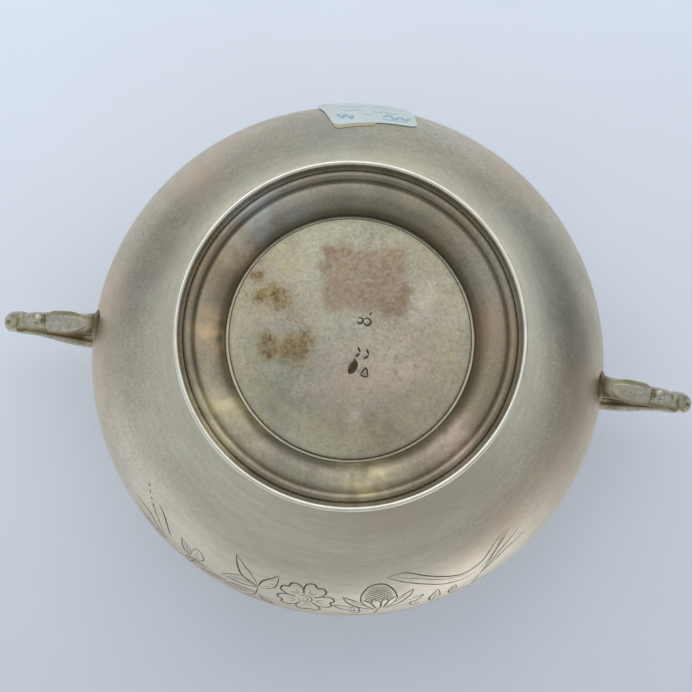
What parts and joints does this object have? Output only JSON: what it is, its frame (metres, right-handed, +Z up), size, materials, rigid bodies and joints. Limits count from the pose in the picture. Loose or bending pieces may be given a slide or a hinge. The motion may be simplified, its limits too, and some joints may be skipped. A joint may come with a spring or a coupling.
{
  "type": "sugar bowl",
  "caption": "Globular two-handled sugar bowl from a silver tea set, on a low spread foot, with cast leaf handles and an engraved flower band.",
  "frame": {"origin": "centre of the plane the foot rests on", "axes": "+Z up through the mouth, X along the line of the two handles with the right handle at +X, -Y towards the engraved front, +Y towards the price label"},
  "size_m": [0.1508, 0.11, 0.068],
  "materials": {
    "bowl_silver": "satin silver with light warm tarnish and fine engraving",
    "disc_silver": "matt silver with brown and olive stains",
    "foot_silver": "tarnished silver, brown in the hollow of the foot",
    "wire_silver": "silver worn bright along the edge",
    "handle_silver": "cast silver, bright on the high places and dark in the hollows",
    "label_paper": "matt paper with faint blue pen strokes"
  },
  "bodies": {
    "root": {"body_shell": "bowl_silver", "base_disc": "disc_silver", "foot_skirt": "foot_silver", "foot_wire": "wire_silver", "mouth_rim": "wire_silver", "price_label": "label_paper", "left_handle_loop": "handle_silver", "left_handle_leaf": "handle_silver", "left_upper_pad": "handle_silver", "left_lower_pad": "handle_silver", "right_handle_loop": "handle_silver", "right_handle_leaf": "handle_silver", "right_upper_pad": "handle_silver", "right_lower_pad": "handle_silver"}
  },
  "joints": []
}
